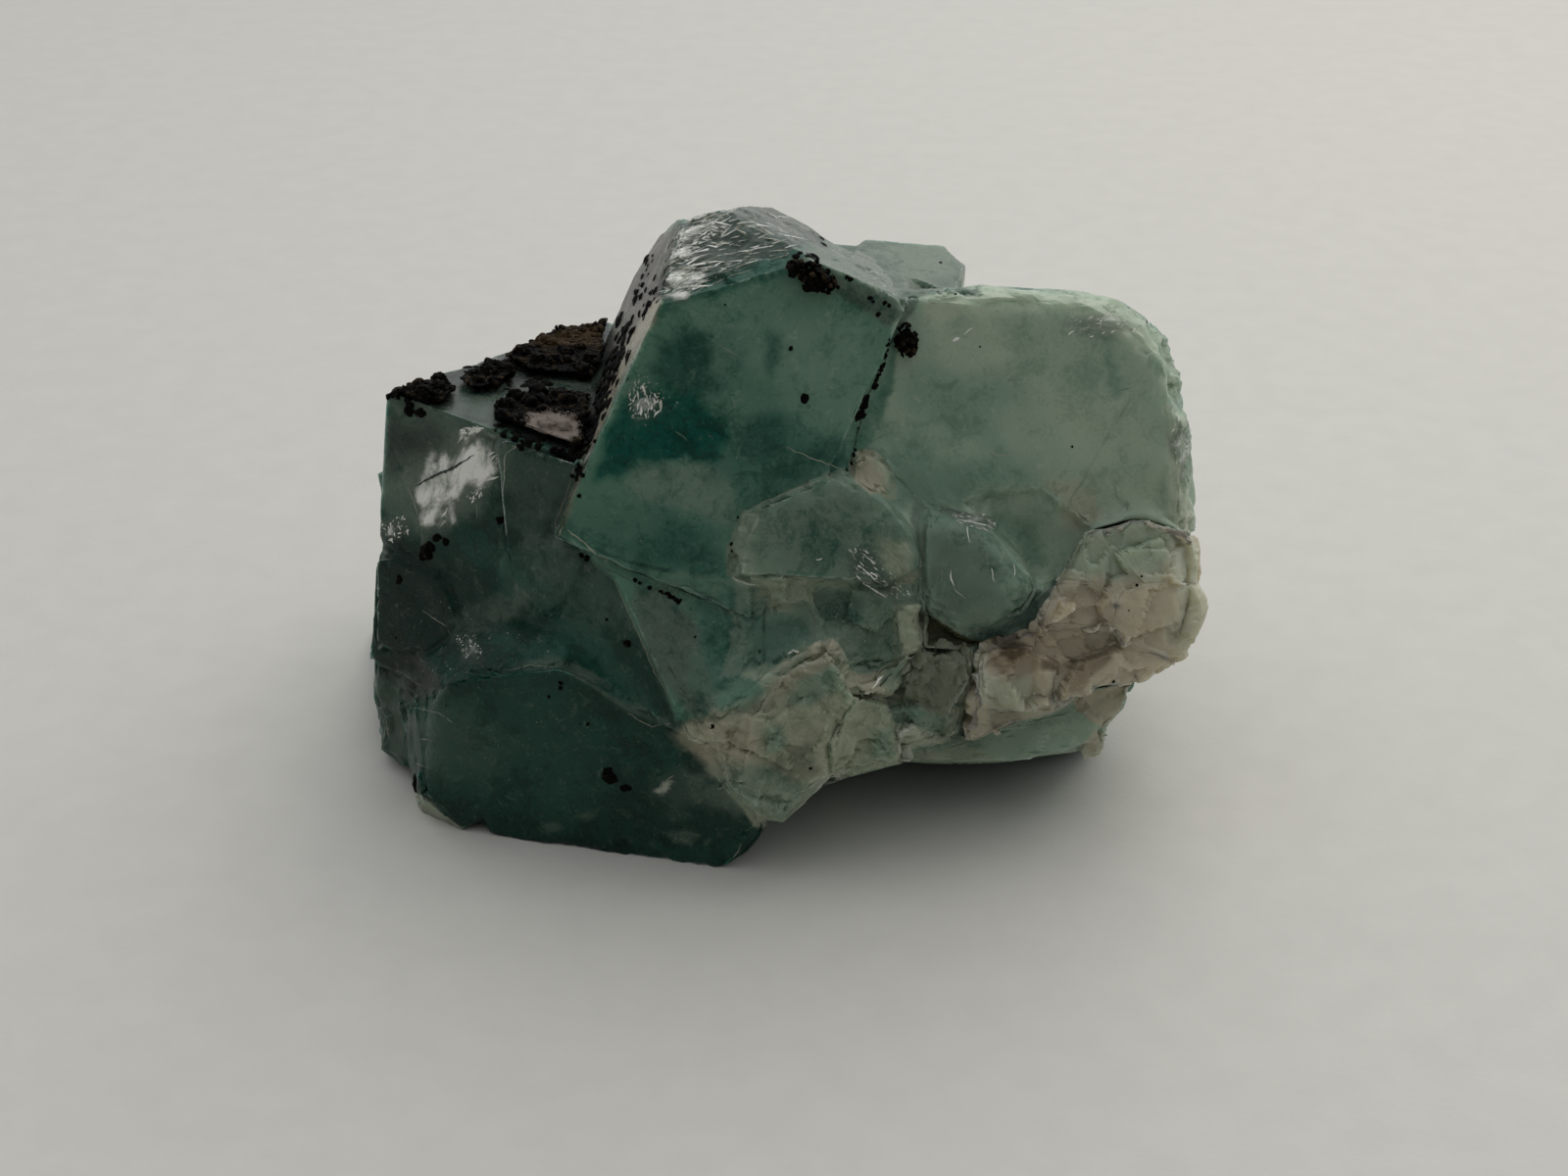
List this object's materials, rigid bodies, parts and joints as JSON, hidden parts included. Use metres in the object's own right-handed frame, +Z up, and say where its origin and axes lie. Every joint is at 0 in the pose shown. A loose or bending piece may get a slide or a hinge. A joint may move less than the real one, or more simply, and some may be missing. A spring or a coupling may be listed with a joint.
{
  "type": "cubic fluorite cluster",
  "caption": "Cluster of intergrown green fluorite cubes with a broken quartz mass and patches of dark oxide crust, resting on a flat base.",
  "frame": {"origin": "middle of the footprint at table height", "axes": "+X to the right along the longest side, +Y away from the viewer, +Z up from the table"},
  "size_m": [0.073, 0.052, 0.0493],
  "materials": {
    "fluorite": "vitreous crystal faces, satin where broken",
    "quartz": "broken, iron-stained quartz",
    "crust": "rough, earthy oxide"
  },
  "bodies": {
    "root": {"fluorite_cluster": "fluorite", "quartz_matrix": "quartz", "crust_main": "crust", "crust_upper": "crust", "crust_corner": "crust", "crust_edge": "crust", "crust_crest": "crust", "crust_seam": "crust"}
  },
  "joints": []
}
